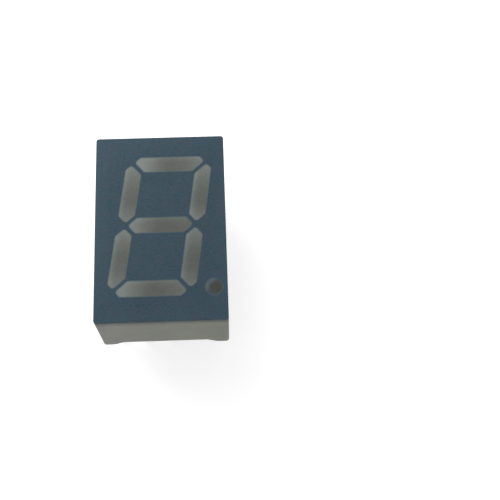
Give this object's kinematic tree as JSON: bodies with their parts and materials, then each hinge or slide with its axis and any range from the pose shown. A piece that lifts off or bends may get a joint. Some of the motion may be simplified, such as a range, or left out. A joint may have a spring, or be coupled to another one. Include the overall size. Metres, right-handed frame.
{
  "type": "seven segment display",
  "caption": "Single-digit LED segment display: pale moulded body with a slate-grey face, milky slanted segment windows, a round decimal point, dark potted back and round pins in two rows.",
  "frame": {"origin": "middle of the ten-pin pattern on the seating plane, the underside of the four feet", "axes": "+Z out of the face, +Y to the top of the digit, +X to the digit's right; the pins point along -Z"},
  "size_m": [0.0126, 0.019, 0.013],
  "materials": {
    "housing_plastic": "matte, with a slate-grey inked face",
    "window_resin": "milky, satin",
    "point_resin": "dark milky, satin",
    "potting_resin": "glossy",
    "circuit_board": "solder mask",
    "tinned_pin": "dull tin",
    "solder": "satin",
    "led_die": "crystal",
    "gold_wire": "polished"
  },
  "bodies": {
    "root": {"housing": "housing_plastic", "board": "circuit_board", "potting": "potting_resin", "window_a": "window_resin", "window_b": "window_resin", "window_c": "window_resin", "window_d": "window_resin", "window_e": "window_resin", "window_f": "window_resin", "window_g": "window_resin", "window_point": "point_resin", "die_a": "led_die", "die_b": "led_die", "die_c": "led_die", "die_d": "led_die", "die_e": "led_die", "die_f": "led_die", "die_g": "led_die", "die_point": "led_die", "wire_a": "gold_wire", "wire_b": "gold_wire", "wire_c": "gold_wire", "wire_d": "gold_wire", "wire_e": "gold_wire", "wire_f": "gold_wire", "wire_g": "gold_wire", "wire_point": "gold_wire", "pin_1": "tinned_pin", "pin_2": "tinned_pin", "pin_3": "tinned_pin", "pin_4": "tinned_pin", "pin_5": "tinned_pin", "pin_6": "tinned_pin", "pin_7": "tinned_pin", "pin_8": "tinned_pin", "pin_9": "tinned_pin", "pin_10": "tinned_pin", "solder_1": "solder", "solder_2": "solder", "solder_3": "solder", "solder_4": "solder", "solder_5": "solder", "solder_6": "solder", "solder_7": "solder", "solder_8": "solder", "solder_9": "solder", "solder_10": "solder"}
  },
  "joints": []
}
